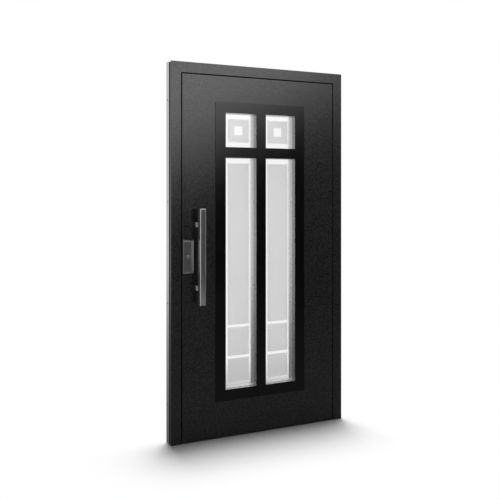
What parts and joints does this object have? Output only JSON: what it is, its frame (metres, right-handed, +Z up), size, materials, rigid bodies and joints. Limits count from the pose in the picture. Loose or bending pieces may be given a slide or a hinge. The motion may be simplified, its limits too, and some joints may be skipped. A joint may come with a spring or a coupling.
{
  "type": "aluminium entrance door",
  "caption": "Black aluminium entrance door in a thermally broken frame, with a glazed insert, a square pull bar and a lock plate; the leaf swings inwards.",
  "frame": {"origin": "middle of the threshold's underside, halfway through the frame's depth", "axes": "+X towards the hinge side, +Y from outside to inside, +Z up"},
  "size_m": [1.1, 0.235, 2.1],
  "materials": {
    "textured_black": "fine textured powder coat",
    "smooth_black": "smooth semi-gloss paint",
    "silver_aluminium": "satin silver",
    "leaf_profile": "black powder coat",
    "threshold_anodised": "dark anodised",
    "thermal_break": "glass filled polyamide",
    "core_foam": "rigid foam",
    "seal_rubber": "matt",
    "satin_steel": "satin brushed",
    "clear_glass": "clear with frosted fields"
  },
  "bodies": {
    "frame": {"left_jamb_outer_shell": "textured_black", "left_jamb_thermal_break": "thermal_break", "left_jamb_inner_shell": "silver_aluminium", "right_jamb_outer_shell": "textured_black", "right_jamb_thermal_break": "thermal_break", "right_jamb_inner_shell": "silver_aluminium", "head_outer_shell": "textured_black", "head_thermal_break": "thermal_break", "head_inner_shell": "silver_aluminium", "threshold": "threshold_anodised", "frame_seal": "seal_rubber", "strike_plate": "satin_steel", "lower_hinge_frame_half": "satin_steel", "middle_hinge_frame_half": "satin_steel", "upper_hinge_frame_half": "satin_steel"},
    "leaf": {"outer_face_sheet": "textured_black", "inner_face_sheet": "textured_black", "lock_stile": "leaf_profile", "hinge_stile": "leaf_profile", "top_rail": "leaf_profile", "bottom_rail": "leaf_profile", "insulating_core": "core_foam", "outer_insert": "smooth_black", "inner_insert": "smooth_black", "outer_window_linings": "silver_aluminium", "inner_window_linings": "silver_aluminium", "glazing_spacers": "silver_aluminium", "inner_panes": "clear_glass", "upper_left_outer_pane": "clear_glass", "upper_right_outer_pane": "clear_glass", "lower_left_outer_pane": "clear_glass", "lower_right_outer_pane": "clear_glass", "outside_pull_bar": "satin_steel", "inside_pull_bar": "satin_steel", "outside_bar_posts": "satin_steel", "inside_bar_posts": "satin_steel", "outside_lock_plate": "satin_steel", "inside_lock_plate": "satin_steel", "lock_cylinder": "satin_steel", "lock_faceplate": "satin_steel", "lower_hinge_leaf_half": "satin_steel", "middle_hinge_leaf_half": "satin_steel", "upper_hinge_leaf_half": "satin_steel"}
  },
  "joints": [
    {"name": "leaf_swing", "type": "hinge", "parent": "frame", "child": "leaf", "pos_m": [0.5079, 0.0475, 1.05], "axis": [0, 0, -1], "range_deg": [0, 100]}
  ]
}
